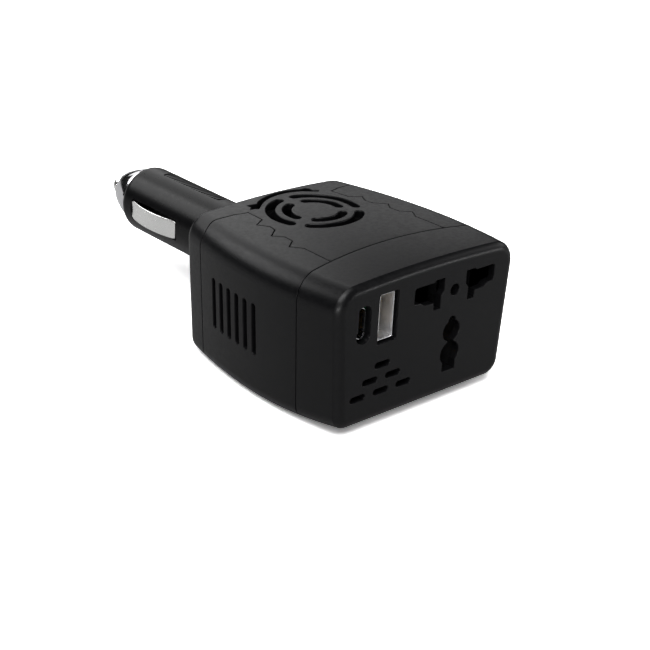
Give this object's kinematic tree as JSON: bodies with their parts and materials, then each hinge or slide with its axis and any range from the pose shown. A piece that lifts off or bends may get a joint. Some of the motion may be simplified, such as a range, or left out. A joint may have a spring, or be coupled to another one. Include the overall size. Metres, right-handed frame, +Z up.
{
  "type": "plug-in power inverter",
  "caption": "Small box inverter on a vehicle accessory plug, with a universal outlet, USB-A and USB-C ports, a fan grille on top and louvred sides.",
  "frame": {"origin": "centre of the bounding box at its bottom, on the flat underside", "axes": "+X to the right seen from the outlet face, +Y along the plug towards its tip, +Z up"},
  "size_m": [0.0698, 0.1424, 0.0441],
  "materials": {
    "shell_plastic": "fine moulded texture, satin black",
    "barrel_plastic": "smooth black, soft gloss",
    "chrome": "bright plated",
    "nickel": "bright rolled nickel strip",
    "spring_steel": "drawn wire",
    "insulator": "black moulding",
    "fuse_glass": "glass tube with metal caps",
    "brass": "stamped brass",
    "port_steel": "bright tin-plated steel",
    "port_plastic": "white tongue",
    "port_dark": "black tongue",
    "circuit_board": "green solder mask",
    "ferrite": "dark ferrite",
    "winding_tape": "yellow polyester tape over copper",
    "can_sleeve": "dark blue sleeve",
    "copper_wire": "enamelled copper",
    "aluminium": "extruded, bare",
    "transistor_epoxy": "moulded epoxy on a metal tab",
    "fan_plastic": "black fan moulding",
    "screw_steel": "zinc-plated steel",
    "red_lead": "red insulation",
    "black_lead": "black insulation",
    "brown_lead": "brown insulation"
  },
  "bodies": {
    "housing": {"front_housing": "shell_plastic", "main_shell": "shell_plastic", "rear_housing": "shell_plastic", "plug_barrel": "barrel_plastic", "contact_spring": "spring_steel", "spring_seat": "brass", "ground_strap": "brass", "socket_carrier": "insulator", "live_contact": "brass", "neutral_contact": "brass", "earth_contact": "brass", "usb_board": "circuit_board", "usb_a_shell": "port_steel", "usb_a_tongue": "port_plastic", "usb_c_shell": "port_steel", "usb_c_tongue": "port_dark", "main_board": "circuit_board", "transformer_core": "ferrite", "transformer_winding": "winding_tape", "output_capacitor": "can_sleeve", "input_capacitors": "can_sleeve", "choke": "copper_wire", "heat_sinks": "aluminium", "power_transistors": "transistor_epoxy", "fan_frame": "fan_plastic", "housing_screws": "screw_steel", "board_screws": "screw_steel", "positive_lead": "red_lead", "negative_lead": "black_lead", "outlet_leads": "brown_lead"},
    "fan_rotor": {"fan_rotor": "fan_plastic"},
    "centre_contact": {"centre_contact": "chrome", "fuse": "fuse_glass"},
    "nose_washer": {"nose_washer": "insulator"},
    "nose_nut": {"nose_nut": "chrome"},
    "side_contact_left": {"side_contact_left": "nickel"},
    "side_contact_right": {"side_contact_right": "nickel"}
  },
  "joints": [
    {"name": "fan_spin", "type": "hinge", "parent": "housing", "child": "fan_rotor", "pos_m": [0, -0.02465, 0.0349], "axis": [0, 0, 1], "continuous": true},
    {"name": "contact_press", "type": "slide", "parent": "housing", "child": "centre_contact", "axis": [0, -1, 0], "range_m": [0, 0.003], "stiffness_N_per_m": 1200, "springref_m": -0.004, "deforming": ["contact_spring"]},
    {"name": "side_contact_left_press", "type": "slide", "parent": "housing", "child": "side_contact_left", "axis": [1, 0, 0], "range_m": [0, 0.0012], "stiffness_N_per_m": 2500, "springref_m": -0.0005},
    {"name": "side_contact_right_press", "type": "slide", "parent": "housing", "child": "side_contact_right", "axis": [-1, 0, 0], "range_m": [0, 0.0012], "stiffness_N_per_m": 2500, "springref_m": -0.0005},
    {"name": "nose_washer_travel", "type": "slide", "parent": "housing", "child": "nose_washer", "axis": [0, 1, 0], "range_m": [0, 0.005]},
    {"name": "nose_nut_turn", "type": "hinge", "parent": "nose_washer", "child": "nose_nut", "pos_m": [0, 0.05975, 0.0229], "axis": [0, 1, 0], "range_deg": [0, 1800]}
  ],
  "couplings": [
    {"joint": "nose_washer_travel", "follows": "nose_nut_turn", "m_per_rad": 0.00015915}
  ]
}
